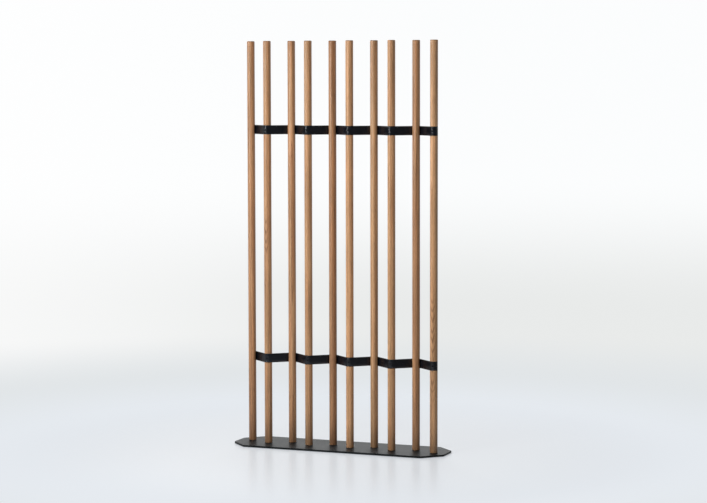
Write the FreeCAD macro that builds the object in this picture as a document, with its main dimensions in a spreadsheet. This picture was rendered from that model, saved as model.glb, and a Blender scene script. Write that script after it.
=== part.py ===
"""A free-standing room divider.

Ten round wooden poles stand in two staggered rows on a thin steel plate. Two flat straps are woven
through them, behind the back row and in front of the front row, and lie flush in a part-turn recess
of every pole.

Millimetres. X runs along the rows, Y points from the front row to the back row, Z is up, and the
origin is on the floor under the middle of the plate.
"""
import FreeCAD
import Part
import math
import os

import Sketcher
from FreeCAD import Placement, Rotation, Vector

# Counts, and angles in degrees that a standard or the layout fixes.
POLE_COUNT = 10
PADS_PER_SIDE = 3
SOCKET_SIDES = 6
COUNTERSINK_ANGLE = 90
HALF_TURN = 180
FULL_TURN = "360"

SIZES = {
    # the whole divider
    "overall_height": 1700.0,
    # the poles and how they stand
    "pole_diameter": 32.0,
    "pole_spacing": 92.5,
    "row_spacing": 42.0,
    "pole_top_round": 3.5,
    "pole_foot_chamfer": 1.0,
    # the base plate, measured out from the outermost pole axes
    "plate_thickness": 8.0,
    "plate_end_margin": 53.75,
    "plate_side_margin": 104.0,
    "plate_corner_cut": 75.0,
    "plate_corner_radius": 16.0,
    "plate_rim_round": 0.8,
    # the floor pads
    "pad_diameter": 24.0,
    "pad_thickness": 2.0,
    "pad_inset": 26.0,
    # the straps; the lower one is measured from the floor and the upper one from the top
    "strap_width": 38.0,
    "strap_thickness": 2.0,
    "lower_strap_height": 370.0,
    "upper_strap_drop": 370.0,
    "recess_angle": 210.0,
    "strap_seat_clearance": 0.1,
    "strap_edge_clearance": 0.25,
    "strap_end_clearance": 0.3,
    # the screws that hold the straps
    "strap_screw_diameter": 4.0,
    "strap_screw_head": 7.0,
    "strap_screw_length": 13.0,
    "strap_screw_tip": 3.0,
    "strap_screw_socket": 2.5,
    "strap_screw_socket_depth": 1.0,
    "end_screw_angle": 75.0,
    # the screws and threaded inserts that hold the poles
    "pole_screw_diameter": 8.0,
    "pole_screw_head": 16.0,
    "pole_screw_length": 40.0,
    "pole_screw_tip": 1.2,
    "pole_screw_socket": 5.0,
    "pole_screw_socket_depth": 2.6,
    "insert_diameter": 12.0,
    "insert_length": 25.0,
    "insert_lead": 1.5,
    "insert_depth": 0.5,
    # clearances shared by all fits, and how far a cut runs past the face that it opens
    "screw_clearance": 0.1,
    "plate_hole_clearance": 0.5,
    "bore_end_clearance": 2.0,
    "cut_overrun": 1.0,
}

# Worked out from the sizes above: each is one more named value that the features read.
WORKED_OUT = {
    "pole_radius": "pole_diameter / 2",
    "pole_foot_height": "pad_thickness + plate_thickness",
    "pole_length": "overall_height - pole_foot_height",
    "upper_strap_height": "overall_height - upper_strap_drop",
    "strap_line_radius": "pole_radius - strap_thickness / 2",
    "strap_inner_radius": "pole_radius - strap_thickness",
    "recess_floor_radius": "strap_inner_radius - strap_seat_clearance",
    "recess_height": "strap_width + 2 * strap_edge_clearance",
    "strap_end_angle": "recess_angle / 2 - strap_end_clearance / strap_line_radius * 180 / pi",
    "plate_length": "(pole_count - 1) * pole_spacing + 2 * plate_end_margin",
    "plate_width": "row_spacing + 2 * plate_side_margin",
    "strap_screw_head_height": "(strap_screw_head - strap_screw_diameter) / 2",
    "strap_screw_level": "sqrt(pole_radius ^ 2 - (strap_screw_head / 2) ^ 2)",
    "pole_screw_head_height": "(pole_screw_head - pole_screw_diameter) / 2",
    "pole_bore_depth": "max(pole_screw_length - plate_thickness; insert_length + insert_depth)"
                       " + bore_end_clearance",
}

doc = FreeCAD.newDocument("RoomDivider")


def make_sheet():
    """The spreadsheet of driving sizes, and below them the values worked out from them."""
    sheet = doc.addObject("Spreadsheet::Sheet", "Sizes")
    rows = {"pole_count": str(POLE_COUNT)}
    rows.update((name, str(value)) for name, value in SIZES.items())
    rows.update((name, "=" + formula) for name, formula in WORKED_OUT.items())
    for row, (name, text) in enumerate(rows.items(), start=1):
        sheet.set("A%d" % row, name)
        sheet.set("B%d" % row, text)
        sheet.setAlias("B%d" % row, name)
    doc.recompute()
    return sheet


sheet = make_sheet()


def size(name):
    """A named size, for code that places or draws with plain numbers."""
    return float(sheet.get(name))


def new_body(label):
    body = doc.addObject("PartDesign::Body", label)
    body.Label = label
    return body


def origin_feature(body, role):
    """One of a body's own origin planes or axes."""
    return [feature for feature in body.Origin.OriginFeatures if feature.Role == role][0]


def new_sketch(body, name, role, offset=(), turn="0"):
    """A sketch on an origin plane, moved by three expressions and turned about its own upright axis."""
    sketch = body.newObject("Sketcher::SketchObject", name)
    sketch.AttachmentSupport = [(origin_feature(body, role), "")]
    sketch.MapMode = "FlatFace"
    angle = float(sketch.evalExpression(turn))
    if angle:
        sketch.AttachmentOffset = Placement(Vector(0, 0, 0), Rotation(Vector(0, 1, 0), angle))
        sketch.setExpression("AttachmentOffset.Rotation.Angle", turn)
    for axis, expression in zip("xyz", offset):
        sketch.setExpression("AttachmentOffset.Base." + axis, expression)
    doc.recompute()
    return sketch


def bind(sketch, constraint, expression):
    """Adds a dimension to a sketch and ties it to an expression."""
    index = sketch.addConstraint(constraint)
    sketch.setExpression("Constraints[%d]" % index, expression)


def place_point(sketch, geometry, end, across, up):
    """Ties one end of a line to two expressions, measured from the sketch's origin."""
    for kind, expression, axis in (("DistanceX", across, -2), ("DistanceY", up, -1)):
        value = float(sketch.evalExpression(expression))
        if value == 0:
            sketch.addConstraint(Sketcher.Constraint("PointOnObject", geometry, end, axis))
        elif value > 0:
            bind(sketch, Sketcher.Constraint(kind, -1, 1, geometry, end, value), expression)
        else:
            bind(sketch, Sketcher.Constraint(kind, geometry, end, -1, 1, -value), "-(%s)" % expression)


def draw_outline(sketch, points):
    """Draws a closed outline of straight lines through points given as pairs of expressions."""
    places = [Vector(*(float(sketch.evalExpression(text)) for text in point)) for point in points]
    count = len(places)
    for index in range(count):
        sketch.addGeometry(Part.LineSegment(places[index], places[(index + 1) % count]), False)
    for index in range(count):
        following = (index + 1) % count
        sketch.addConstraint(Sketcher.Constraint("Coincident", index, 2, following, 1))
    for index, (across, up) in enumerate(points):
        place_point(sketch, index, 1, across, up)


def draw_circle(sketch, diameter, across="0", up="0"):
    """Draws a circle whose diameter and centre are expressions."""
    centre = Vector(float(sketch.evalExpression(across)), float(sketch.evalExpression(up)))
    radius = float(sketch.evalExpression(diameter)) / 2
    index = sketch.addGeometry(Part.Circle(centre, Vector(0, 0, 1), radius), False)
    bind(sketch, Sketcher.Constraint("Diameter", index, 2 * radius), diameter)
    place_point(sketch, index, 3, across, up)


def add_feature(body, kind, name, profile=None, reverse=False, **expressions):
    """Adds one feature to a body and ties its properties to expressions."""
    feature = body.newObject("PartDesign::" + kind, name)
    if profile is not None:
        feature.Profile = profile
    if reverse:
        feature.Reversed = True
    for prop, expression in expressions.items():
        feature.setExpression(prop, expression)
    return feature


def edges_where(feature, test):
    """The names of a feature's edges that pass a test."""
    doc.recompute()
    return ["Edge%d" % number for number, edge in enumerate(feature.Shape.Edges, start=1) if test(edge)]


def flat_at(height):
    """A test for edges that lie in the level plane at a height."""
    return lambda edge: all(abs(vertex.Z - height) < Part.Precision.confusion() for vertex in edge.Vertexes)


def upright(edge):
    """A test for straight edges that stand along Z."""
    box = edge.BoundBox
    return box.ZLength > max(box.XLength, box.YLength)


def dress(body, kind, name, base, edges, **expressions):
    """Rounds or chamfers some edges of the feature before it."""
    feature = add_feature(body, kind, name, **expressions)
    feature.Base = (base, edges)
    return feature


def repeat_along_rows(body, name, originals):
    """Repeats features along X from one pole of a row to the other poles of that row."""
    pattern = body.newObject("PartDesign::LinearPattern", name)
    pattern.Originals = originals
    pattern.Direction = (origin_feature(body, "X_Axis"), [""])
    pattern.Occurrences = POLE_COUNT // 2
    pattern.setExpression("Length", "(Sizes.pole_count - 2) * Sizes.pole_spacing")
    body.Tip = pattern
    return pattern


def pole_across(index):
    """The X of a pole's axis as an expression; poles are counted from the left."""
    return "(%d - (Sizes.pole_count - 1) / 2) * Sizes.pole_spacing" % index


def in_back_row(index):
    """The row at the back takes the first pole, and the two rows take turns."""
    return index % 2 == 0


def pole_depth(index):
    """The Y of a pole's axis as an expression."""
    return "Sizes.row_spacing / 2" if in_back_row(index) else "-Sizes.row_spacing / 2"


def pole_axis(index):
    """The X and Y of a pole's axis as numbers."""
    return tuple(float(sheet.evalExpression(text)) for text in (pole_across(index), pole_depth(index)))


def facing_turn(index):
    """How far a pole is turned from facing -Y, in degrees: the back row faces the other way."""
    return HALF_TURN if in_back_row(index) else 0


def is_end_pole(index):
    return index in (0, POLE_COUNT - 1)


def make_base_plate():
    """A rectangle with its corners cut off and rounded, and countersunk holes from below."""
    body = new_body("base_plate")
    body.setExpression("Placement.Base.z", "Sizes.pad_thickness")
    outline = new_sketch(body, "plate_outline", "XY_Plane")
    half_length = "Sizes.plate_length / 2"
    half_width = "Sizes.plate_width / 2"
    draw_outline(outline, [("-" + half_length, "-" + half_width), (half_length, "-" + half_width),
                           (half_length, half_width), ("-" + half_length, half_width)])
    slab = add_feature(body, "Pad", "plate_slab", outline, Length="Sizes.plate_thickness")
    cut = dress(body, "Chamfer", "plate_corner_cuts", slab, edges_where(slab, upright),
                Size="Sizes.plate_corner_cut")
    rounded = dress(body, "Fillet", "plate_corners", cut, edges_where(cut, upright),
                    Radius="Sizes.plate_corner_radius")
    top_rim = edges_where(rounded, flat_at(size("plate_thickness")))
    low_rim = edges_where(rounded, flat_at(0))
    rim = dress(body, "Fillet", "plate_rim", rounded, top_rim + low_rim, Radius="Sizes.plate_rim_round")
    doc.recompute()
    places = new_sketch(body, "plate_hole_places", "XY_Plane")
    hole_diameter = "Sizes.pole_screw_diameter + 2 * Sizes.plate_hole_clearance"
    for index in (0, 1):
        draw_circle(places, hole_diameter, pole_across(index), pole_depth(index))
    doc.recompute()
    solid_volume = rim.Shape.Volume
    hole = add_feature(body, "Hole", "plate_holes", places, reverse=True)
    hole.DepthType = "ThroughAll"
    hole.HoleCutType = "Countersink"
    hole.HoleCutCustomValues = True
    hole.setExpression("Diameter", hole_diameter)
    hole.setExpression("HoleCutDiameter", "Sizes.pole_screw_head + 2 * Sizes.screw_clearance")
    hole.HoleCutCountersinkAngle = COUNTERSINK_ANGLE
    repeat_along_rows(body, "plate_hole_rows", [hole])
    doc.recompute()
    assert body.Shape.Volume < solid_volume, "the plate's holes point away from it"
    return body


def make_pole(index):
    """One pole, modelled facing -Y; the back row is turned about so that its straps face +Y."""
    body = new_body("pole_%02d" % (index + 1))
    body.setExpression("Placement.Base.x", pole_across(index))
    body.setExpression("Placement.Base.y", pole_depth(index))
    body.setExpression("Placement.Base.z", "Sizes.pole_foot_height")
    body.Placement.Rotation = Rotation(Vector(0, 0, 1), facing_turn(index))
    section = new_sketch(body, "pole_section", "XY_Plane")
    draw_circle(section, "Sizes.pole_diameter")
    rod = add_feature(body, "Pad", "pole_rod", section, Length="Sizes.pole_length")
    top = dress(body, "Fillet", "pole_top", rod, edges_where(rod, flat_at(size("pole_length"))),
                Radius="Sizes.pole_top_round")
    foot = dress(body, "Chamfer", "pole_foot", top, edges_where(top, flat_at(0)),
                 Size="Sizes.pole_foot_chamfer")
    doc.recompute()
    bore_place = new_sketch(body, "pole_bore_place", "XY_Plane")
    draw_circle(bore_place, "Sizes.insert_diameter + 2 * Sizes.screw_clearance")
    add_feature(body, "Pocket", "pole_bore", bore_place, reverse=True, Length="Sizes.pole_bore_depth")
    for strap in ("lower", "upper"):
        cut_strap_seat(body, strap, index)
    doc.recompute()
    assert body.Shape.Volume < foot.Shape.Volume, "the pole's cuts point away from it"
    return body


def cut_strap_seat(body, strap, index):
    """The recess that one strap lies in, and the holes of its screws."""
    middle = "(Sizes.%s_strap_height - Sizes.pole_foot_height)" % strap
    recess = new_sketch(body, strap + "_recess_section", "YZ_Plane")
    floor = "-Sizes.recess_floor_radius"
    outside = "-(Sizes.pole_radius + Sizes.cut_overrun)"
    low = middle + " - Sizes.recess_height / 2"
    high = middle + " + Sizes.recess_height / 2"
    draw_outline(recess, [(outside, low), (floor, low), (floor, high), (outside, high)])
    groove = add_feature(body, "Groove", strap + "_recess", recess, Angle="Sizes.recess_angle")
    groove.ReferenceAxis = (recess, ["V_Axis"])
    groove.Midplane = True
    doc.recompute()
    turns = ["0", "Sizes.end_screw_angle"] if is_end_pole(index) else ["0"]
    for turn in turns:
        place = new_sketch(body, strap + "_screw_place", "XZ_Plane", turn=turn)
        draw_circle(place, "Sizes.strap_screw_diameter + 2 * Sizes.screw_clearance", "0", middle)
        add_feature(body, "Pocket", strap + "_screw_hole", place, reverse=True,
                    Length="Sizes.pole_radius + Sizes.cut_overrun")
        doc.recompute()


def strap_slope():
    """The angle between X and a strap's straight runs, which cross between neighbouring poles."""
    centre_distance = math.hypot(size("pole_spacing"), size("row_spacing"))
    centre_angle = math.atan2(size("row_spacing"), size("pole_spacing"))
    return centre_angle + math.asin(2 * size("strap_line_radius") / centre_distance)


def draw_strap_line(sketch):
    """The middle line of a strap: an arc on the outer side of every pole and straight runs between."""
    radius = size("strap_line_radius")
    slope = strap_slope()
    end_angle = math.radians(size("strap_end_angle"))
    last = POLE_COUNT - 1
    ends = []
    for index in range(POLE_COUNT):
        centre = Vector(*pole_axis(index))
        facing = math.pi / 2 if in_back_row(index) else -math.pi / 2
        first_angle = facing - slope
        last_angle = facing + (end_angle if is_end_pole(index) else slope)
        circle = Part.Circle(centre, Vector(0, 0, 1), radius)
        arc = Part.ArcOfCircle(circle, first_angle, last_angle)
        sketch.addGeometry(arc, False)
        ends.append((arc.StartPoint, arc.EndPoint))
    for index in range(last):
        end = 0 if in_back_row(index) else 1
        sketch.addGeometry(Part.LineSegment(ends[index][end], ends[index + 1][end]), False)
    for index in range(last):
        end = 1 if in_back_row(index) else 2
        run = POLE_COUNT + index
        sketch.addConstraint(Sketcher.Constraint("Tangent", index, end, run, 1))
        sketch.addConstraint(Sketcher.Constraint("Tangent", index + 1, end, run, 2))
        if index + 1 < last:
            sketch.addConstraint(Sketcher.Constraint("Equal", 0, index + 1))
        bind(sketch, Sketcher.Constraint("DistanceX", index, 3, index + 1, 3, size("pole_spacing")),
             "Sizes.pole_spacing")
        front, back = (index + 1, index) if in_back_row(index) else (index, index + 1)
        bind(sketch, Sketcher.Constraint("DistanceY", front, 3, back, 3, size("row_spacing")),
             "Sizes.row_spacing")
    bind(sketch, Sketcher.Constraint("Radius", 0, radius), "Sizes.strap_line_radius")
    bind(sketch, Sketcher.Constraint("DistanceY", 0, 2, 0, 3, -radius * math.cos(end_angle)),
         "-Sizes.strap_line_radius * cos(Sizes.strap_end_angle)")
    sketch.addConstraint(Sketcher.Constraint("Symmetric", 0, 3, last, 3, -1, 1))
    sketch.addConstraint(Sketcher.Constraint("Symmetric", 0, 2, last, 2, -1, 1))


def make_strap(strap):
    """A flat strap swept along its line, with a countersunk hole for every screw."""
    body = new_body(strap + "_strap")
    body.setExpression("Placement.Base.z", "Sizes.%s_strap_height" % strap)
    line = new_sketch(body, strap + "_strap_line", "XY_Plane")
    draw_strap_line(line)
    doc.recompute()
    section = body.newObject("Sketcher::SketchObject", strap + "_strap_section")
    section.AttachmentSupport = [(line, "Edge1")]
    section.MapMode = "NormalToEdge"
    section.MapPathParameter = 1
    doc.recompute()
    upright_axis = section.Placement.Rotation.multVec(Vector(1, 0, 0))
    spans = ["Sizes.strap_thickness / 2", "Sizes.strap_width / 2"]
    if abs(upright_axis.z) > abs(upright_axis.x) + abs(upright_axis.y):
        spans.reverse()
    across, up = spans
    draw_outline(section, [("-" + across, "-" + up), (across, "-" + up), (across, up), ("-" + across, up)])
    sweep = add_feature(body, "AdditivePipe", strap + "_strap_sweep", section)
    sweep.Spine = (line, ["Edge%d" % (number + 1) for number in range(2 * POLE_COUNT - 1)])
    doc.recompute()
    cut_strap_holes(body, strap)
    doc.recompute()
    assert body.Shape.Volume < sweep.Shape.Volume, "the strap's holes miss it"
    return body


def cut_strap_holes(body, strap):
    """Countersunk holes: one per pole, repeated along each row, and one near each end."""
    for index, row in ((0, "back"), (1, "front")):
        hole = cut_strap_hole(body, "%s_strap_%s_hole" % (strap, row), index, "0")
        repeat_along_rows(body, "%s_strap_%s_holes" % (strap, row), [hole])
        doc.recompute()
    for index, end in ((0, "left"), (POLE_COUNT - 1, "right")):
        cut_strap_hole(body, "%s_strap_%s_end_hole" % (strap, end), index, "Sizes.end_screw_angle")


def cut_strap_hole(body, name, index, turn):
    """One countersunk hole, turned about its pole's axis from the way that the pole faces."""
    sketch = new_sketch(body, name + "_section", "YZ_Plane", (pole_depth(index), "0", pole_across(index)),
                        "%d + %s" % (facing_turn(index), turn))
    shank = "Sizes.strap_screw_diameter / 2 + Sizes.screw_clearance"
    seat = "(Sizes.strap_screw_level - Sizes.strap_screw_head_height)"
    outside = "(Sizes.pole_radius + Sizes.cut_overrun)"
    inside = "(Sizes.strap_inner_radius - Sizes.cut_overrun)"
    mouth = "%s + %s - %s" % (shank, outside, seat)
    draw_outline(sketch, [("-" + inside, "0"), ("-" + inside, shank), ("-" + seat, shank),
                          ("-" + outside, mouth), ("-" + outside, "0")])
    groove = add_feature(body, "Groove", name, sketch, Angle=FULL_TURN)
    groove.ReferenceAxis = (sketch, ["H_Axis"])
    doc.recompute()
    return groove


def make_screw(name):
    """A countersunk socket screw: the flat of its head at the origin, its shank along -Z."""
    body = new_body(name + "_pattern")
    values = {part: "Sizes.%s_%s" % (name, part)
              for part in ("diameter", "head", "head_height", "length", "tip", "socket", "socket_depth")}
    shank = values["diameter"] + " / 2"
    tip = "max(%s - %s; %s / 4)" % (shank, values["tip"], shank)
    profile = new_sketch(body, name + "_profile", "XZ_Plane")
    draw_outline(profile, [("0", "0"), (values["head"] + " / 2", "0"),
                           (shank, "-" + values["head_height"]),
                           (shank, "-(%s - %s)" % (values["length"], values["tip"])),
                           (tip, "-" + values["length"]), ("0", "-" + values["length"])])
    turned = add_feature(body, "Revolution", name + "_turned", profile, Angle=FULL_TURN)
    turned.ReferenceAxis = (profile, ["V_Axis"])
    doc.recompute()
    socket = body.newObject("PartDesign::SubtractivePrism", name + "_socket")
    socket.Polygon = SOCKET_SIDES
    corner_angle = HALF_TURN / SOCKET_SIDES
    socket.setExpression("Circumradius", "%s / 2 / cos(%g)" % (values["socket"], corner_angle))
    socket.setExpression("Height", values["socket_depth"])
    socket.setExpression("Placement.Base.z", "-" + values["socket_depth"])
    doc.recompute()
    assert body.Shape.Volume < turned.Shape.Volume, "the screw's socket misses its head"
    return body


def make_insert():
    """A threaded insert, its mouth at the origin and its length along Z."""
    body = new_body("insert_pattern")
    outer = "Sizes.insert_diameter / 2"
    inner = "Sizes.pole_screw_diameter / 2 + Sizes.screw_clearance"
    lead = "Sizes.insert_length - Sizes.insert_lead"
    profile = new_sketch(body, "insert_profile", "XZ_Plane")
    draw_outline(profile, [(inner, "0"), (outer, "0"), (outer, lead),
                           (outer + " - Sizes.insert_lead", "Sizes.insert_length"),
                           (inner, "Sizes.insert_length")])
    turned = add_feature(body, "Revolution", "insert_turned", profile, Angle=FULL_TURN)
    turned.ReferenceAxis = (profile, ["V_Axis"])
    doc.recompute()
    return body


def make_group(label, pattern, placements):
    """Alike fasteners as separate solids of one sub-part."""
    group = doc.addObject("Part::Feature", label)
    group.Label = label
    solids = []
    for placement in placements:
        solid = pattern.Shape.copy()
        solid.Placement = placement.multiply(solid.Placement)
        solids.append(solid)
    group.Shape = Part.makeCompound(solids)
    return group


def strap_screw_placements(strap):
    """Where the screws of one strap sit: the flat of each head, and which way it faces."""
    poles = range(POLE_COUNT)
    turns = [(index, 0) for index in poles]
    turns += [(index, size("end_screw_angle")) for index in poles if is_end_pole(index)]
    placements = []
    for index, turn in turns:
        outward = Rotation(Vector(0, 0, 1), facing_turn(index) + turn).multVec(Vector(0, -1, 0))
        centre = Vector(*pole_axis(index), size(strap + "_strap_height"))
        turned = Rotation(Vector(0, 0, 1), outward)
        placements.append(Placement(centre + outward * size("strap_screw_level"), turned))
    return placements


def make_pads():
    """Round floor pads along both long edges of the plate."""
    pads = []
    reach = "(Sizes.plate_length / 2 - Sizes.plate_corner_cut - Sizes.pad_inset)"
    for row, side in (("front", "-"), ("back", "")):
        for place in range(PADS_PER_SIDE):
            label = "%s_pad_%d" % (row, place + 1)
            pad = doc.addObject("Part::Cylinder", label)
            pad.Label = label
            pad.setExpression("Radius", "Sizes.pad_diameter / 2")
            pad.setExpression("Height", "Sizes.pad_thickness")
            share = 2 * place / (PADS_PER_SIDE - 1) - 1
            pad.setExpression("Placement.Base.x", "%g * %s" % (share, reach))
            pad.setExpression("Placement.Base.y", "%s(Sizes.plate_width / 2 - Sizes.pad_inset)" % side)
            pads.append(pad)
    return pads


def make_divider():
    """Every sub-part of the divider."""
    poles = range(POLE_COUNT)
    strap_screw = make_screw("strap_screw")
    pole_screw = make_screw("pole_screw")
    insert = make_insert()
    head_down = Rotation(Vector(1, 0, 0), HALF_TURN)
    screw_places = [Placement(Vector(*pole_axis(index), size("pad_thickness")), head_down) for index in poles]
    insert_height = size("pole_foot_height") + size("insert_depth")
    insert_places = [Placement(Vector(*pole_axis(index), insert_height), Rotation()) for index in poles]
    parts = [make_base_plate()]
    parts += [make_pole(index) for index in poles]
    parts += [make_strap(strap) for strap in ("lower", "upper")]
    parts += [make_group(strap + "_strap_screws", strap_screw, strap_screw_placements(strap))
              for strap in ("lower", "upper")]
    parts += [make_group("pole_screws", pole_screw, screw_places)]
    parts += [make_group("pole_inserts", insert, insert_places)]
    parts += make_pads()
    doc.recompute()
    return parts


def check(parts):
    """Stops if any object failed or any sub-part's solids are missing or bad."""
    for thing in doc.Objects:
        assert not {"Invalid", "Error"} & set(thing.State), "%s is %s" % (thing.Label, thing.State)
    for part in parts:
        shape = part.Shape
        assert not shape.isNull() and shape.isValid() and shape.Solids, part.Label + " has no good solid"


def write(parts):
    """One STEP file for each sub-part, named by its label."""
    os.makedirs("parts", exist_ok=True)
    for part in parts:
        part.Shape.exportStep("parts/%s.step" % part.Label)


divider = make_divider()
check(divider)
write(divider)
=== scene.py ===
"""A room divider: ten oak poles in two rows on a steel plate, tied by two woven leather straps."""

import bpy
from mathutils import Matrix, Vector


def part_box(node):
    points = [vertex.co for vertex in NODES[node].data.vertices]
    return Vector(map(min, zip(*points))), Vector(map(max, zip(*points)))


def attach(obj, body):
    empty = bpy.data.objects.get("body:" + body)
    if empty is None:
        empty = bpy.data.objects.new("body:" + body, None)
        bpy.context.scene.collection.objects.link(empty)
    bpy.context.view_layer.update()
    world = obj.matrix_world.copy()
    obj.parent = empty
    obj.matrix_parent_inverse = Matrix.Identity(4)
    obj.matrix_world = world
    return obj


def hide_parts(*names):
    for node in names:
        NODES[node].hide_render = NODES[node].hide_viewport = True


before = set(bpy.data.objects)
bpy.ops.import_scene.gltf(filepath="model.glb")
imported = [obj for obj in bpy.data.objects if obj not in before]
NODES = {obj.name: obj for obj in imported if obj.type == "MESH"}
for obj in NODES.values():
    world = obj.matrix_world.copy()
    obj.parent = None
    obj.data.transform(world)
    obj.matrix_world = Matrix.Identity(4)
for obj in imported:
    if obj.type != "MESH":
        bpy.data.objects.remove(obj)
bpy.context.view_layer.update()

import math
import random
from types import SimpleNamespace

import bmesh
import bpy
from mathutils import Matrix, Vector

# The nodes of the frame, with the box and the middle of each
POLES = ["pole_%02d" % number for number in range(1, 11)]
PADS = ["%s_pad_%d" % (row, number) for row in ("front", "back") for number in (1, 2, 3)]
STRAPS = ("lower_strap", "upper_strap")
BOXES = {node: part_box(node) for node in NODES}
MIDDLES = {node: (low + high) / 2 for node, (low, high) in BOXES.items()}
POLE_RADIUS = (BOXES[POLES[0]][1].x - BOXES[POLES[0]][0].x) / 2
UP = Vector((0.0, 0.0, 1.0))


class Nodes:
    """Adds nodes to one tree. An input takes a plain value or another node's output."""

    def __init__(self, tree):
        self.tree = tree
        tree.nodes.clear()

    def feed(self, socket, value):
        if isinstance(value, bpy.types.NodeSocket):
            self.tree.links.new(value, socket)
        else:
            socket.default_value = value

    def add(self, kind, inputs, **settings):
        node = self.tree.nodes.new(kind)
        for name, value in settings.items():
            setattr(node, name, value)
        for key, value in inputs.items():
            self.feed(node.inputs[key], value)
        return node

    def math(self, operation, first, second=0.0):
        return self.add("ShaderNodeMath", {0: first, 1: second}, operation=operation).outputs[0]

    def times(self, first, second):
        return self.math("MULTIPLY", first, second)

    def vector(self, operation, first, second):
        return self.add("ShaderNodeVectorMath", {0: first, 1: second}, operation=operation).outputs[0]

    def split(self, vector):
        return self.add("ShaderNodeSeparateXYZ", {0: vector}).outputs

    def object_place(self):
        return self.add("ShaderNodeTexCoord", {}).outputs["Object"]

    def distance_from_axis(self, place):
        """How far a place lies from the z axis."""
        level = self.vector("MULTIPLY", place, (1.0, 1.0, 0.0))
        return self.add("ShaderNodeVectorMath", {0: level}, operation="LENGTH").outputs["Value"]

    def rise(self, value, start, end, low=0.0, high=1.0):
        """Goes smoothly from low to high while value goes from start to end."""
        limits = {"Value": value, "From Min": start, "From Max": end, "To Min": low, "To Max": high}
        return self.add("ShaderNodeMapRange", limits, interpolation_type="SMOOTHSTEP").outputs["Result"]

    def mix(self, share, first, second, blend="MIX"):
        """Mixes two colours; share is the second one's."""
        colours = {"Factor": share, "A": first, "B": second}
        node = self.add("ShaderNodeMix", {}, data_type="RGBA", blend_type=blend)
        for socket in node.inputs:
            if socket.enabled and socket.name in colours:
                self.feed(socket, colours[socket.name])
        return next(socket for socket in node.outputs if socket.enabled)

    def tint(self, colour, shade):
        """The colour multiplied by another colour, or by a number."""
        return self.mix(1.0, colour, shade, "MULTIPLY")

    def mix_shaders(self, share, first, second):
        """Mixes two shaders; share is the second one's."""
        return self.add("ShaderNodeMixShader", {0: share, 1: first, 2: second}).outputs[0]

    def noise(self, place, size, detail=2.0, roughness=0.5, output="Fac"):
        """Cloudy noise from 0 to 1 whose blotches have that size, in metres, along x, y and z."""
        stretched = self.vector("DIVIDE", place, size)
        inputs = {"Vector": stretched, "Scale": 1.0, "Detail": detail, "Roughness": roughness}
        return self.add("ShaderNodeTexNoise", inputs).outputs[output]

    def wander(self, place, size, detail=2.0):
        """Drifts from -0.5 to 0.5 along x, y and z, in blotches of that size."""
        drift = self.noise(place, size, detail, output="Color")
        return self.vector("SUBTRACT", drift, (0.5, 0.5, 0.5))

    def cells(self, place, size):
        """Distance to the nearest edge of irregular cells of that size."""
        inputs = {"Vector": self.vector("DIVIDE", place, size), "Scale": 1.0}
        return self.add("ShaderNodeTexVoronoi", inputs, feature="DISTANCE_TO_EDGE").outputs["Distance"]

    def bump(self, height, strength, depth):
        inputs = {"Height": height, "Strength": strength, "Distance": depth}
        return self.add("ShaderNodeBump", inputs).outputs[0]

    def seen_plainly(self, path):
        """1 for what is seen, straight, mirrored or through glass, and 0 for light that falls."""
        seen = self.math("MAXIMUM", path["Is Camera Ray"], path["Is Glossy Ray"])
        return self.math("MAXIMUM", seen, path["Is Transmission Ray"])

    def finish_surface(self, **inputs):
        named = {name.replace("_", " "): value for name, value in inputs.items()}
        shader = self.add("ShaderNodeBsdfPrincipled", named)
        self.add("ShaderNodeOutputMaterial", {"Surface": shader.outputs[0]})


def new_material(name):
    material = bpy.data.materials.new(name)
    material.use_nodes = True
    return material, Nodes(material.node_tree)


def opaque(red, green, blue):
    return (red, green, blue, 1.0)


def even(size):
    return (size, size, size)


# Oak: solid wood that shows rings and pores on the sides and end grain on the tops
OAK_PALE = opaque(0.526, 0.298, 0.158)
OAK_MIDDLE = opaque(0.428, 0.228, 0.113)
OAK_EARLY = opaque(0.300, 0.148, 0.068)
OAK_PORE = opaque(0.115, 0.054, 0.025)
OAK_FLAME = opaque(0.190, 0.086, 0.037)

# How the poles differ: the seed of each one's cut, its lightness and its share of warm wood
POLE_GRAIN_SEEDS = (77, 128, 69, 110, 121, 132, 83, 124, 85, 86)
POLE_LIGHTNESS_SHARES = (0.91, 0.97, 0.96, 1.00, 0.79, 1.30, 1.03, 1.19, 0.93, 1.31)
POLE_WARMTH_SHARES = (0.57, 0.46, 0.49, 0.39, 0.63, 0.40, 0.26, 0.38, 0.48, 0.31)
WARM_TINT = opaque(1.06, 0.96, 0.90)
COOL_TINT = opaque(0.97, 1.02, 1.02)
WARMTH_SIZE = (0.012, 0.012, 0.30)
WARMTH_BLEND = 0.3

# Sizes of the grain, in metres along x, y and z of a plank that runs along z
PLANK_LENGTH = 60.0
PITH_NEAREST = 0.030
PITH_FURTHEST = 0.110
RING_SPACING = 0.0031
RING_GROUP = 0.009
GRAIN_WANDER_SIZE = (0.16, 0.16, 0.9)
GRAIN_BEND = (0.016, 0.016, 0.0)
PORE_SIZE = (0.00075, 0.00075, 0.016)
FIBRE_SIZE = (0.0005, 0.0005, 0.03)
STREAK_SIZE = (0.007, 0.007, 0.36)
CLOUD_SIZE = (0.05, 0.05, 0.20)
FLECK_SIZE = (0.0016, 0.006, 0.010)

# Where each pattern of the grain starts and is full, and how strongly it shows
BAND_RANGE = (0.30, 0.70)
EARLY_RANGE = (0.10, 0.55)
PORE_RANGE = (0.56, 0.68)
FLECK_RANGE = (0.66, 0.74)
SHADE_RANGE = (0.25, 0.75)
EARLY_SHARE = 0.55
FLECK_SHARE = 0.30
PORE_SHARE = 0.70
LATE_PORE_SHARE = 0.30
FIBRE_SHADES = (0.86, 1.14)
STREAK_SHADES = (0.73, 1.27)
CLOUD_SHADES = (0.91, 1.09)

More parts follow.
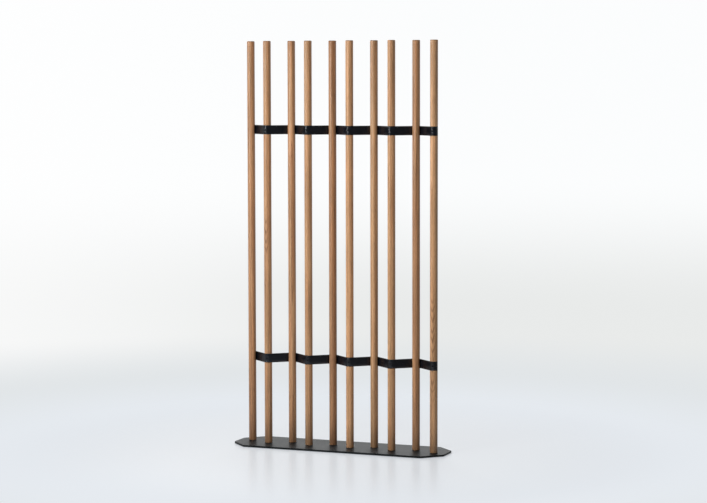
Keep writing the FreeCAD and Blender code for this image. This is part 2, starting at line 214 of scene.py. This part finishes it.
# The oiled finish, the end grain on top, and painted shade that darkens the foot near the plate
OAK_DULL_RANGE = (0.2, 1.4)
OAK_ROUGHNESS = (0.35, 0.49)
OAK_END_RANGE = (0.05, 0.50)
OAK_END_SHADE = opaque(0.58, 0.51, 0.44)
OAK_END_ROUGHNESS = 0.85
# Painted shade at the foot: how dark the colour gets there, and how far up it fades out
OAK_PAINTED_SHADE_SHARE = 0.62
OAK_PAINTED_SHADE_REACH = 0.14
FIBRE_RELIEF_SHARE = 0.25
EARLY_RELIEF_SHARE = 0.30

# Flame figure: the poles that show it, counted from 0, with the height of its middle and half its length
OAK_FLAMES = {1: (0.880, 0.090), 9: (0.450, 0.260)}
FLAME_SPACING = 0.042
FLAME_WIDTH = 0.009
FLAME_BOWL = 0.030
FLAME_WANDER_SIZE = even(0.05)
FLAME_SWAY = (0.008, 0.0, FLAME_SPACING)
FLAME_MARK_RANGE = (0.04, 0.32)
FLAME_SIDE_RANGE = (0.6, 1.3)
FLAME_FRONT_SHARE = -0.5
FLAME_FULL_SHARE = 0.6
FLAME_SHARE = 0.78


def oak_place(nodes, number, draw):
    """The place in a pole's own blank: each pole is turned and cut from another length of the plank."""
    turn = Matrix.Rotation(draw.uniform(0.0, 2 * math.pi), 3, "Z")
    axis = MIDDLES[POLES[number]]
    along = Vector((0.0, 0.0, draw.uniform(0.0, PLANK_LENGTH)))
    shift = turn @ Vector((-axis.x, -axis.y, 0.0)) + along
    inputs = {"Vector": nodes.object_place(), "Location": shift, "Rotation": turn.to_euler()}
    return nodes.add("ShaderNodeMapping", inputs).outputs[0]


def oak_depth(nodes, place, pith):
    """How far a point lies from the pith, with the wander of the grain along the plank."""
    wander = nodes.wander(place, GRAIN_WANDER_SIZE, detail=3.0)
    bent = nodes.vector("ADD", place, nodes.vector("MULTIPLY", wander, GRAIN_BEND))
    return nodes.distance_from_axis(nodes.vector("SUBTRACT", bent, (pith, 0.0, 0.0)))


def oak_grain(nodes, place, depth):
    """The patterns of the grain at a point, each from 0 to 1."""
    ring = nodes.math("FRACT", nodes.math("DIVIDE", depth, RING_SPACING))
    early = nodes.math("SUBTRACT", 1.0, nodes.rise(ring, *EARLY_RANGE))
    groups = {"W": nodes.math("DIVIDE", depth, RING_GROUP), "Scale": 1.0, "Detail": 1.0}
    pores = nodes.rise(nodes.noise(place, PORE_SIZE, detail=1.0), *PORE_RANGE)
    return SimpleNamespace(
        early=early,
        bands=nodes.add("ShaderNodeTexNoise", groups, noise_dimensions="1D").outputs["Fac"],
        pores=nodes.times(pores, nodes.rise(early, 0.0, 1.0, LATE_PORE_SHARE, 1.0)),
        fibres=nodes.noise(place, FIBRE_SIZE, detail=3.0),
        streaks=nodes.noise(place, STREAK_SIZE, detail=3.0, roughness=0.6),
        clouds=nodes.noise(place, CLOUD_SIZE),
        flecks=nodes.rise(nodes.noise(place, FLECK_SIZE, detail=1.0), *FLECK_RANGE),
    )


def oak_flames(nodes, number, place):
    """Soft dark bowls up the front of a pole, on the stretch where the cut runs along the rings."""
    middle, reach = OAK_FLAMES[number]
    axis = MIDDLES[POLES[number]]
    spot = nodes.vector("SUBTRACT", nodes.object_place(), (axis.x, axis.y, middle))
    sway = nodes.vector("MULTIPLY", nodes.wander(place, FLAME_WANDER_SIZE), FLAME_SWAY)
    straight = nodes.split(spot)
    bent = nodes.split(nodes.vector("ADD", spot, sway))
    wide = nodes.math("DIVIDE", bent["X"], FLAME_WIDTH)
    bowl = nodes.times(nodes.times(wide, wide), FLAME_BOWL)
    level = nodes.math("DIVIDE", nodes.math("SUBTRACT", bent["Z"], bowl), FLAME_SPACING)
    away = nodes.math("ABSOLUTE", nodes.math("SUBTRACT", nodes.math("FRACT", level), 0.5))
    marks = nodes.rise(away, *FLAME_MARK_RANGE, FLAME_SHARE, 0.0)
    inner = nodes.rise(nodes.math("ABSOLUTE", wide), *FLAME_SIDE_RANGE, 1.0, 0.0)
    front = nodes.rise(straight["Y"], FLAME_FRONT_SHARE * POLE_RADIUS, 0.0, 1.0, 0.0)
    height = nodes.math("ABSOLUTE", straight["Z"])
    stretch = nodes.rise(height, FLAME_FULL_SHARE * reach, reach, 1.0, 0.0)
    return nodes.times(nodes.times(marks, inner), nodes.times(front, stretch))


def oak_colour(nodes, number, place, grain):
    """The colour of a pole's sides: its grain, then how light and warm it is, then painted shade at its
    foot.
    """
    colour = nodes.mix(nodes.rise(grain.bands, *BAND_RANGE), OAK_MIDDLE, OAK_PALE)
    colour = nodes.mix(nodes.times(grain.early, EARLY_SHARE), colour, OAK_EARLY)
    colour = nodes.mix(nodes.times(grain.flecks, FLECK_SHARE), colour, OAK_PALE)
    colour = nodes.mix(nodes.times(grain.pores, PORE_SHARE), colour, OAK_PORE)
    if number in OAK_FLAMES:
        colour = nodes.mix(oak_flames(nodes, number, place), colour, OAK_FLAME)
    for pattern, shades in (
        (grain.fibres, FIBRE_SHADES),
        (grain.streaks, STREAK_SHADES),
        (grain.clouds, CLOUD_SHADES),
    ):
        colour = nodes.tint(colour, nodes.rise(pattern, *SHADE_RANGE, *shades))
    warm_share = POLE_WARMTH_SHARES[number]
    patches = nodes.noise(place, WARMTH_SIZE)
    cool = nodes.rise(patches, warm_share - WARMTH_BLEND, warm_share + WARMTH_BLEND)
    colour = nodes.tint(colour, nodes.mix(cool, WARM_TINT, COOL_TINT))
    colour = nodes.tint(colour, opaque(*even(POLE_LIGHTNESS_SHARES[number])))
    # Painted shade: the colour darkens towards the foot, where the plate shades the wood
    foot = BOXES[POLES[number]][0].z
    above_foot = nodes.math("SUBTRACT", nodes.split(nodes.object_place())["Z"], foot)
    return nodes.tint(colour, nodes.rise(above_foot, 0.0, OAK_PAINTED_SHADE_REACH, OAK_PAINTED_SHADE_SHARE, 1.0))


def make_oak(number):
    material, nodes = new_material("oak_%02d" % (number + 1))
    draw = random.Random(POLE_GRAIN_SEEDS[number])
    place = oak_place(nodes, number, draw)
    depth = oak_depth(nodes, place, draw.uniform(PITH_NEAREST, PITH_FURTHEST))
    grain = oak_grain(nodes, place, depth)
    sides = oak_colour(nodes, number, place, grain)
    upward = nodes.split(nodes.add("ShaderNodeNewGeometry", {}).outputs["Normal"])["Z"]
    end = nodes.rise(upward, *OAK_END_RANGE)
    relief = nodes.math("SUBTRACT", nodes.times(grain.fibres, FIBRE_RELIEF_SHARE), grain.pores)
    relief = nodes.math("SUBTRACT", relief, nodes.times(grain.early, EARLY_RELIEF_SHARE))
    dullness = nodes.rise(nodes.math("ADD", grain.pores, grain.clouds), *OAK_DULL_RANGE, *OAK_ROUGHNESS)
    nodes.finish_surface(
        Base_Color=nodes.mix(end, sides, nodes.tint(sides, OAK_END_SHADE)),
        Roughness=nodes.math("MAXIMUM", dullness, nodes.times(end, OAK_END_ROUGHNESS)),
        Specular_IOR_Level=0.60,
        Normal=nodes.bump(relief, strength=0.35, depth=0.0003),
    )
    return material


# Black leather: fine pebbled grain, faint lines along the strap, burnished edges
LEATHER_DARK = opaque(0.0024, 0.0031, 0.0050)
LEATHER_WORN = opaque(0.0058, 0.0074, 0.0118)
LEATHER_EDGE = opaque(0.0025, 0.0024, 0.0026)
LEATHER_PEBBLE_SIZE = even(0.0011)
LEATHER_LINE_SIZE = (0.05, 0.0008, 1.0)
LEATHER_CLOUD_SIZE = (0.03, 0.03, 0.012)
LEATHER_PEBBLE_RANGE = (0.0, 0.22)
LEATHER_LINE_RANGE = (0.42, 0.62)
LEATHER_WORN_RANGE = (0.35, 0.70)
LEATHER_LINE_SHARE = 0.45
LEATHER_RIM_REACH = (0.0180, 0.0188)
LEATHER_DULL_RANGE = (0.6, 1.4)
LEATHER_ROUGHNESS = (0.45, 0.60)
PEBBLE_RELIEF_SHARE = 0.6
LINE_RELIEF_SHARE = 0.4


def make_leather():
    material, nodes = new_material("strap_leather")
    flat = nodes.add("ShaderNodeUVMap", {}).outputs[0]
    place = nodes.object_place()
    pebbles = nodes.rise(nodes.cells(place, LEATHER_PEBBLE_SIZE), *LEATHER_PEBBLE_RANGE)
    creases = nodes.noise(flat, LEATHER_LINE_SIZE)
    clouds = nodes.noise(place, LEATHER_CLOUD_SIZE, detail=3.0)
    lines = nodes.rise(creases, *LEATHER_LINE_RANGE)
    colour = nodes.mix(nodes.rise(clouds, *LEATHER_WORN_RANGE), LEATHER_DARK, LEATHER_WORN)
    colour = nodes.mix(nodes.times(lines, LEATHER_LINE_SHARE), colour, LEATHER_WORN)
    rim = nodes.rise(nodes.math("ABSOLUTE", nodes.split(flat)["Y"]), *LEATHER_RIM_REACH)
    pebble_relief = nodes.times(pebbles, PEBBLE_RELIEF_SHARE)
    relief = nodes.math("ADD", pebble_relief, nodes.times(lines, LINE_RELIEF_SHARE))
    normal = nodes.bump(relief, strength=0.25, depth=0.00018)
    dullness = nodes.math("ADD", clouds, creases)
    nodes.finish_surface(
        Base_Color=nodes.mix(rim, colour, LEATHER_EDGE),
        Roughness=nodes.rise(dullness, *LEATHER_DULL_RANGE, *LEATHER_ROUGHNESS),
        Specular_IOR_Level=0.02,
        Coat_Weight=0.25,
        Coat_IOR=2.4,
        Coat_Roughness=0.23,
        Coat_Normal=normal,
        Normal=normal,
    )
    return material


# Black powder coat: fine orange peel, slightly uneven gloss, a trace of dust
COAT_DARK = opaque(0.0085, 0.0110, 0.0122)
COAT_PALE = opaque(0.0130, 0.0168, 0.0185)
COAT_PEEL_SIZE = even(0.0022)
COAT_GRIT_SIZE = even(0.0005)
COAT_CLOUD_SIZE = even(0.12)
COAT_CLOUD_RANGE = (0.3, 0.7)
COAT_DUST_RANGE = (0.55, 0.85)
COAT_DUST_SHARE = 0.6
COAT_DULL_RANGE = (0.4, 1.1)
COAT_ROUGHNESS = (0.50, 0.60)
GRIT_DULL_SHARE = 0.5
GRIT_RELIEF_SHARE = 0.35


def make_powder_coat():
    material, nodes = new_material("black_powder_coat")
    place = nodes.object_place()
    peel = nodes.noise(place, COAT_PEEL_SIZE)
    grit = nodes.noise(place, COAT_GRIT_SIZE, detail=1.0)
    clouds = nodes.noise(place, COAT_CLOUD_SIZE, detail=4.0, roughness=0.6)
    colour = nodes.mix(nodes.rise(clouds, *COAT_CLOUD_RANGE), COAT_DARK, COAT_PALE)
    dust = nodes.rise(grit, *COAT_DUST_RANGE, 0.0, COAT_DUST_SHARE)
    relief = nodes.math("ADD", peel, nodes.times(grit, GRIT_RELIEF_SHARE))
    normal = nodes.bump(relief, strength=0.20, depth=0.00025)
    dullness = nodes.math("ADD", clouds, nodes.times(grit, GRIT_DULL_SHARE))
    nodes.finish_surface(
        Base_Color=nodes.mix(dust, colour, COAT_PALE),
        Roughness=nodes.rise(dullness, *COAT_DULL_RANGE, *COAT_ROUGHNESS),
        Specular_IOR_Level=0.02,
        Coat_Weight=0.215,
        Coat_IOR=1.5,
        Coat_Roughness=0.23,
        Coat_Normal=normal,
        Normal=normal,
    )
    return material


# Fasteners: blackened strap screws, and plated pole screws and inserts
BLACK_DARK = opaque(0.004, 0.004, 0.005)
BLACK_PALE = opaque(0.009, 0.009, 0.010)
BLACK_MARK_SIZE = even(0.0006)
BLACK_ROUGHNESS = (0.50, 0.65)
ZINC_DARK = opaque(0.50, 0.50, 0.48)
ZINC_PALE = opaque(0.62, 0.62, 0.60)
ZINC_MARK_SIZE = (0.0004, 0.0004, 0.003)
ZINC_ROUGHNESS = (0.28, 0.45)
METAL_CLOUD_SIZE = even(0.004)
METAL_CLOUD_RANGE = (0.3, 0.7)
METAL_DULL_RANGE = (0.6, 1.4)


def make_metal(name, dark, pale, mark_size, roughness, metallic, specular):
    """A plated or blackened fastener: fine marks of that size, with uneven gloss."""
    material, nodes = new_material(name)
    place = nodes.object_place()
    marks = nodes.noise(place, mark_size, detail=3.0)
    clouds = nodes.noise(place, METAL_CLOUD_SIZE)
    nodes.finish_surface(
        Base_Color=nodes.mix(nodes.rise(clouds, *METAL_CLOUD_RANGE), dark, pale),
        Metallic=metallic,
        Specular_IOR_Level=specular,
        Roughness=nodes.rise(nodes.math("ADD", marks, clouds), *METAL_DULL_RANGE, *roughness),
        Normal=nodes.bump(marks, strength=0.15, depth=0.00008),
    )
    return material


# Dark felt: matted short fibres
FELT_DARK = opaque(0.018, 0.018, 0.019)
FELT_PALE = opaque(0.052, 0.052, 0.055)
FELT_FIBRE_SIZE = (0.0011, 0.0004, 0.0004)
FELT_MAT_SIZE = (0.003, 0.003, 0.001)
FELT_FIBRE_RANGE = (0.35, 0.65)
FELT_MAT_RANGE = (0.3, 0.7)
FELT_MAT_SHARE = 0.5


def make_felt():
    material, nodes = new_material("felt")
    place = nodes.object_place()
    fibres = nodes.noise(place, FELT_FIBRE_SIZE, detail=4.0, roughness=0.7)
    mats = nodes.noise(place, FELT_MAT_SIZE, detail=3.0)
    colour = nodes.mix(nodes.rise(fibres, *FELT_FIBRE_RANGE), FELT_DARK, FELT_PALE)
    nodes.finish_surface(
        Base_Color=nodes.mix(nodes.rise(mats, *FELT_MAT_RANGE, 0.0, FELT_MAT_SHARE), colour, FELT_DARK),
        Roughness=0.95,
        Specular_IOR_Level=0.15,
        Sheen_Weight=0.3,
        Normal=nodes.bump(nodes.math("ADD", fibres, mats), strength=0.6, depth=0.0004),
    )
    return material


def new_piece(name, mesh, material):
    piece = bpy.data.objects.new(name, mesh)
    bpy.context.scene.collection.objects.link(piece)
    mesh.materials.append(material)
    return piece


def new_mesh(name, shape):
    """Turns a finished bmesh into a mesh and frees it."""
    mesh = bpy.data.meshes.new(name)
    shape.to_mesh(mesh)
    shape.free()
    return mesh


# The straps, in metres and degrees; their height and width come from the frame
STRAP_THICKNESS = 0.002
STRAP_END_ANGLE = 103.85
STRAP_EDGE_ROUND = 0.0006
STRAP_SHARP_ANGLE = 40.0
CREASE_INSET = 0.003
CREASE_HALF_WIDTH = 0.0006
CREASE_DEPTH = 0.0003
ARC_STEP = 3.0
SPAN_STEPS = 10
EDGE_STEPS = 3
FACE_STEPS = 6

# The countersunk holes in the straps
END_SCREW_ANGLE = 75.0
HOLE_INNER_RADIUS = 0.0021
HOLE_OUTER_RADIUS = 0.0040
HOLE_OVERRUN = 0.0005
HOLE_SIDES = 40


def strap_side(node):
    """+1 for a pole of the back row, where the strap passes behind it, and -1 for the front row."""
    return 1.0 if MIDDLES[node].y > 0.0 else -1.0


def around(node, angle):
    """The direction from a pole's axis at an angle from its strap's middle, positive towards +X."""
    turned = math.radians(angle)
    return Vector((math.sin(turned), strap_side(node) * math.cos(turned), 0.0))


def strap_route():
    """Points on the strap's middle line, each with the direction across its thickness, to the back."""
    radius = POLE_RADIUS - STRAP_THICKNESS / 2
    step = MIDDLES[POLES[1]] - MIDDLES[POLES[0]]
    distance = math.hypot(step.x, step.y)
    slope = math.degrees(math.atan2(abs(step.y), step.x) + math.asin(2 * radius / distance))
    route = []
    for pole in POLES:
        start = -STRAP_END_ANGLE if pole == POLES[0] else -slope
        end = STRAP_END_ANGLE if pole == POLES[-1] else slope
        steps = math.ceil((end - start) / ARC_STEP)
        centre = Vector((MIDDLES[pole].x, MIDDLES[pole].y, 0.0))
        arc = []
        for index in range(steps + 1):
            outward = around(pole, start + (end - start) * index / steps)
            arc.append((centre + outward * radius, outward * strap_side(pole)))
        if route:
            place, across = route[-1]
            first_place = arc[0][0]
            for part in range(1, SPAN_STEPS):
                route.append((place.lerp(first_place, part / SPAN_STEPS), across))
        route += arc
    return route


def strap_section(width):
    """One face of the strap with its two rounded edges: thickness and height of each point."""
    half = STRAP_THICKNESS / 2
    edge = width / 2
    corner = edge - STRAP_EDGE_ROUND
    side = []
    for index in range(EDGE_STEPS + 1):
        turned = math.pi / 2 * index / EDGE_STEPS
        out = STRAP_EDGE_ROUND * math.sin(turned)
        side.append((half - STRAP_EDGE_ROUND + out, corner + STRAP_EDGE_ROUND * math.cos(turned)))
    crease = edge - CREASE_INSET
    flat_edge = crease - CREASE_HALF_WIDTH
    side += [(half, crease + CREASE_HALF_WIDTH), (half - CREASE_DEPTH, crease), (half, flat_edge)]
    face = [(half, flat_edge * (1 - 2 * index / FACE_STEPS)) for index in range(1, FACE_STEPS)]
    return side + face + [(thickness, -height) for thickness, height in reversed(side)]


def strap_width(name):
    low, high = BOXES[name]
    return high.z - low.z


def strap_mesh(name):
    """The strap's section carried along its route; its UVs are the flat strap's length and height."""
    face = strap_section(strap_width(name))
    outline = face + [(-thickness, height) for thickness, height in reversed(face)]
    route = strap_route()
    shape = bmesh.new()
    flat = shape.loops.layers.uv.new("flat")
    rows = []
    travelled = 0.0
    distances = []
    for index, (place, across) in enumerate(route):
        if index:
            travelled += (place - route[index - 1][0]).length
        distances.append(travelled)
        centre = place + UP * MIDDLES[name].z
        row = [centre + across * thickness + UP * height for thickness, height in outline]
        rows.append([shape.verts.new(point) for point in row])
    count = len(outline)
    for row in range(len(rows) - 1):
        for point in range(count):
            after = (point + 1) % count
            corners = ((row, point), (row, after), (row + 1, after), (row + 1, point))
            made = shape.faces.new([rows[r][p] for r, p in corners])
            for loop, (r, p) in zip(made.loops, corners):
                loop[flat].uv = (distances[r], outline[p][1])
    shape.faces.new(rows[0])
    shape.faces.new(reversed(rows[-1]))
    bmesh.ops.recalc_face_normals(shape, faces=shape.faces)
    return new_mesh(name + "_cut", shape)


def hole_places():
    """Each strap screw's pole and its angle from the middle of the strap's contact."""
    places = [(pole, 0.0) for pole in POLES]
    return places + [(POLES[0], -END_SCREW_ANGLE), (POLES[-1], END_SCREW_ANGLE)]


def hole_cutter(height):
    """The countersunk holes of one strap, as cones that overrun both faces."""
    shape = bmesh.new()
    slope = (HOLE_OUTER_RADIUS - HOLE_INNER_RADIUS) / STRAP_THICKNESS
    middle_radius = POLE_RADIUS - STRAP_THICKNESS / 2
    for pole, angle in hole_places():
        outward = around(pole, angle)
        axis = MIDDLES[pole]
        place = Vector((axis.x, axis.y, height)) + outward * middle_radius
        aim = Matrix.Translation(place) @ outward.to_track_quat("Z", "Y").to_matrix().to_4x4()
        bmesh.ops.create_cone(
            shape,
            cap_ends=True,
            segments=HOLE_SIDES,
            radius1=HOLE_INNER_RADIUS - HOLE_OVERRUN * slope,
            radius2=HOLE_OUTER_RADIUS + HOLE_OVERRUN * slope,
            depth=STRAP_THICKNESS + 2 * HOLE_OVERRUN,
            matrix=aim,
        )
    return new_mesh("holes", shape)


def cut_holes(piece, cutter):
    """Cuts the cutter's shape out of the piece's mesh for good, and removes the cutter."""
    cut = piece.modifiers.new("holes", "BOOLEAN")
    cut.object = cutter
    cut.operation = "DIFFERENCE"
    cut.solver = "EXACT"
    evaluated = piece.evaluated_get(bpy.context.evaluated_depsgraph_get())
    piece.data = bpy.data.meshes.new_from_object(evaluated)
    piece.modifiers.clear()
    bpy.data.objects.remove(cutter)


def make_strap(name, leather):
    """A strap from its first pole to its last, with a countersunk hole for every screw."""
    piece = new_piece(name + "_leather", strap_mesh(name), leather)
    cut_holes(piece, new_piece("holes", hole_cutter(MIDDLES[name].z), leather))
    piece.data.shade_smooth()
    piece.data.set_sharp_from_angle(angle=math.radians(STRAP_SHARP_ANGLE))
    route = [place for place, across in strap_route()]
    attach(piece, "root")
    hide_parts(name)


# The felt pads
PAD_EDGE_ROUND = 0.0005
PAD_BULGE = 0.0003
PAD_SIDES = 64
PAD_SHARP_ANGLE = 60.0


def pad_outline(radius, height):
    """Half section of a felt pad from the rim of its underside to that of its top: radius and height."""
    rim = radius - PAD_BULGE
    return (
        (rim - PAD_EDGE_ROUND, 0.0),
        (rim - PAD_EDGE_ROUND / 4, PAD_EDGE_ROUND / 4),
        (rim, PAD_EDGE_ROUND),
        (radius, height / 2),
        (rim, height - PAD_EDGE_ROUND),
        (rim - PAD_EDGE_ROUND / 4, height - PAD_EDGE_ROUND / 4),
        (rim - PAD_EDGE_ROUND, height),
    )


def make_pad(name, felt):
    """A felt pad, pressed to a soft round edge by the plate's weight."""
    low, high = BOXES[name]
    centre = MIDDLES[name]
    draw = random.Random(name)
    shape = bmesh.new()
    rings = []
    for radius, height in pad_outline((high.x - low.x) / 2, high.z - low.z):
        ring = []
        for side in range(PAD_SIDES):
            turned = 2 * math.pi * side / PAD_SIDES
            reach = radius - draw.uniform(0.0, PAD_BULGE / 2)
            x = centre.x + reach * math.cos(turned)
            y = centre.y + reach * math.sin(turned)
            ring.append(shape.verts.new((x, y, low.z + height)))
        rings.append(ring)
    for lower, upper in zip(rings, rings[1:]):
        for side in range(PAD_SIDES):
            after = (side + 1) % PAD_SIDES
            shape.faces.new((lower[side], lower[after], upper[after], upper[side]))
    shape.faces.new(reversed(rings[0]))
    shape.faces.new(rings[-1])
    mesh = new_mesh(name + "_felt", shape)
    mesh.shade_smooth()
    mesh.set_sharp_from_angle(angle=math.radians(PAD_SHARP_ANGLE))
    piece = new_piece(name + "_felt", mesh, felt)
    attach(piece, "root")
    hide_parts(name)


def dress(node, material):
    """Gives a CAD node its finish."""
    slots = NODES[node].data.materials
    slots.clear()
    slots.append(material)


def dress_object():
    """Finishes the nodes that stay as they are, and makes the straps and the pads."""
    for number, pole in enumerate(POLES):
        dress(pole, make_oak(number))
    dress("base_plate", make_powder_coat())
    black = make_metal(
        "black_screw", BLACK_DARK, BLACK_PALE, BLACK_MARK_SIZE, BLACK_ROUGHNESS,
        metallic=0.0, specular=0.12)
    zinc = make_metal(
        "zinc_steel", ZINC_DARK, ZINC_PALE, ZINC_MARK_SIZE, ZINC_ROUGHNESS,
        metallic=1.0, specular=0.5)
    for node in ("lower_strap_screws", "upper_strap_screws"):
        dress(node, black)
    for node in ("pole_screws", "pole_inserts"):
        dress(node, zinc)
    leather = make_leather()
    for strap in STRAPS:
        make_strap(strap, leather)
    felt = make_felt()
    for pad in PADS:
        make_pad(pad, felt)


# The floor; a reach is a distance from its middle, or along x where the mirrored floor dims
FLOOR_RADIUS = 5.0
FLOOR_SIDES = 96
FLOOR_COLOUR = opaque(0.93, 0.955, 0.985)
FLOOR_BOUNCE_COLOUR = opaque(0.40, 0.405, 0.41)
FLOOR_NEAR_COLOUR = opaque(0.790, 0.827, 0.872)
FLOOR_FAR_COLOUR = opaque(0.755, 0.785, 0.803)
FLOOR_FAR_REACH = (1.2, 2.6)
FLOOR_LIT_REACH = (0.5, 1.6)
FLOOR_FADE_REACH = (2.2, 4.4)
FLOOR_PLAIN_SHARE = 0.50
FLOOR_DIM_REACH = (0.4, 1.6)
FLOOR_DIM_SHARE = 0.15
FLOOR_ROUGHNESS = 0.24
FLOOR_SHEEN = 0.09
FLOOR_SHEEN_REACH = (0.7, 1.3)


def make_floor_finish():
    """Lit and shaded by the lamps near the object, a plain tone further out, and clear at the rim."""
    material, nodes = new_material("pale_floor")
    path = nodes.add("ShaderNodeLightPath", {}).outputs
    place = nodes.object_place()
    reach = nodes.distance_from_axis(place)
    lit = nodes.add("ShaderNodeBsdfPrincipled", {
        "Base Color": nodes.mix(path["Is Camera Ray"], FLOOR_BOUNCE_COLOUR, FLOOR_COLOUR),
        "Roughness": FLOOR_ROUGHNESS,
        "Specular IOR Level": nodes.rise(reach, *FLOOR_SHEEN_REACH, FLOOR_SHEEN, 0.0),
    })
    tone = nodes.mix(nodes.rise(reach, *FLOOR_FAR_REACH), FLOOR_NEAR_COLOUR, FLOOR_FAR_COLOUR)
    mirrored = nodes.rise(nodes.split(place)["X"], *FLOOR_DIM_REACH, 1.0, FLOOR_DIM_SHARE)
    strength = nodes.math("MAXIMUM", path["Is Camera Ray"], mirrored)
    plain = nodes.add("ShaderNodeEmission", {"Color": tone, "Strength": strength})
    outward = nodes.rise(reach, *FLOOR_LIT_REACH, FLOOR_PLAIN_SHARE, 1.0)
    plain_share = nodes.times(nodes.seen_plainly(path), outward)
    surface = nodes.mix_shaders(plain_share, lit.outputs[0], plain.outputs[0])
    clear = nodes.add("ShaderNodeBsdfTransparent", {}).outputs[0]
    faded = nodes.mix_shaders(nodes.rise(reach, *FLOOR_FADE_REACH), surface, clear)
    nodes.add("ShaderNodeOutputMaterial", {"Surface": faded})
    return material


def make_floor():
    shape = bmesh.new()
    bmesh.ops.create_circle(shape, cap_ends=True, segments=FLOOR_SIDES, radius=FLOOR_RADIUS)
    floor = new_piece("floor", new_mesh("floor", shape), make_floor_finish())
    return floor


# The surround, whiter upwards and to the left; slopes and edges are the z, x or y of a direction
SURROUND_LOW = opaque(0.812, 0.826, 0.820)
SURROUND_HIGH = opaque(0.970, 0.981, 0.986)
SURROUND_WHITE = opaque(1.0, 1.0, 1.0)
SURROUND_LOW_SLOPE = -0.105
SURROUND_HIGH_SLOPE = -0.045
SURROUND_LEFT_EDGE = -0.54
SURROUND_RIGHT_EDGE = -0.32
SURROUND_LEFT_SHARE = 0.68
AMBIENT_COLOUR = opaque(1.0, 1.0, 1.0)
AMBIENT_STRENGTH = 0.165
ROOM_SHADE_SHARE = 0.12
ROOM_DIM_EDGE = -0.10
ROOM_WHITE_EDGE = 0.60


def make_surround():
    """The backdrop that the camera sees, a dim room in front that only gloss shows, and even light."""
    world = bpy.data.worlds.new("studio")
    world.use_nodes = True
    bpy.context.scene.world = world
    nodes = Nodes(world.node_tree)
    direction = nodes.split(nodes.add("ShaderNodeTexCoord", {}).outputs["Generated"])
    shade = nodes.rise(direction["Z"], SURROUND_LOW_SLOPE, SURROUND_HIGH_SLOPE)
    path = nodes.add("ShaderNodeLightPath", {}).outputs
    room = nodes.rise(direction["Y"], ROOM_DIM_EDGE, ROOM_WHITE_EDGE, ROOM_SHADE_SHARE, 1.0)
    left = nodes.rise(direction["X"], SURROUND_LEFT_EDGE, SURROUND_RIGHT_EDGE, SURROUND_LEFT_SHARE, 0.0)
    backdrop = nodes.mix(shade, SURROUND_LOW, SURROUND_HIGH)
    shown = nodes.add("ShaderNodeBackground", {
        "Color": nodes.mix(left, backdrop, SURROUND_WHITE),
        "Strength": nodes.math("MAXIMUM", path["Is Camera Ray"], room),
    })
    ambient = nodes.add("ShaderNodeBackground", {"Color": AMBIENT_COLOUR, "Strength": AMBIENT_STRENGTH})
    surface = nodes.mix_shaders(nodes.seen_plainly(path), ambient.outputs[0], shown.outputs[0])
    nodes.add("ShaderNodeOutputWorld", {"Surface": surface})


def make_lamp(name, place, aim, width, height, watts, beam, mirrored=True):
    """A soft box; beam is the angle in degrees that its light is kept within."""
    data = bpy.data.lights.new(name, "AREA")
    data.shape = "RECTANGLE"
    data.size = width
    data.size_y = height
    data.energy = watts
    data.spread = math.radians(beam)
    lamp = bpy.data.objects.new(name, data)
    bpy.context.scene.collection.objects.link(lamp)
    lamp.location = place
    lamp.rotation_mode = "QUATERNION"
    lamp.rotation_quaternion = (Vector(aim) - Vector(place)).to_track_quat("-Z", "Y")
    lamp.visible_camera = False
    lamp.visible_glossy = mirrored
    return lamp


def leave_out(lamp, thing):
    """Keeps a lamp's light off one thing."""
    receivers = bpy.data.collections.new(lamp.name + "_receivers")
    receivers.objects.link(thing)
    receivers.collection_objects[0].light_linking.link_state = "EXCLUDE"
    lamp.light_linking.receiver_collection = receivers


def make_lamps(floor):
    make_lamp(
        "key_lamp", place=(-0.52, -2.25, 1.15), aim=(0.0, 0.0, 0.95),
        width=0.9, height=1.2, watts=16.0, beam=125.0, mirrored=False)
    strip = make_lamp(
        "strip_lamp", place=(-1.95, -2.3, 1.9), aim=(0.0, 0.0, 1.25),
        width=0.16, height=1.8, watts=9.2, beam=76.0)
    make_lamp(
        "top_lamp", place=(0.0, 0.0, 4.6), aim=(0.0, 0.0, 0.0),
        width=4.0, height=4.0, watts=50.0, beam=180.0)
    make_lamp(
        "back_lamp", place=(-1.8, 4.5, 3.6), aim=(0.0, 0.0, 0.9),
        width=3.0, height=3.0, watts=150.0, beam=180.0)
    leave_out(strip, floor)


# The camera of the photograph: metres, degrees, and millimetres for the lens and the sensor
CAMERA_PLACE = (3.4687, -8.5954, 1.5559)
CAMERA_YAW = 21.6606
CAMERA_PITCH = -4.5012
CAMERA_ROLL = -0.1018
CAMERA_LENS = 113.884
CAMERA_SENSOR = 36.0


def make_camera():
    data = bpy.data.cameras.new("camera")
    data.sensor_width = CAMERA_SENSOR
    data.lens = CAMERA_LENS
    camera = bpy.data.objects.new("camera", data)
    bpy.context.scene.collection.objects.link(camera)
    yaw = Matrix.Rotation(math.radians(CAMERA_YAW), 4, "Z")
    pitch = Matrix.Rotation(math.radians(90.0 + CAMERA_PITCH), 4, "X")
    roll = Matrix.Rotation(math.radians(CAMERA_ROLL), 4, "Z")
    camera.matrix_world = Matrix.Translation(CAMERA_PLACE) @ yaw @ pitch @ roll
    bpy.context.scene.camera = camera


dress_object()
make_surround()
make_lamps(make_floor())
make_camera()
bpy.context.scene.view_settings.view_transform = "Standard"
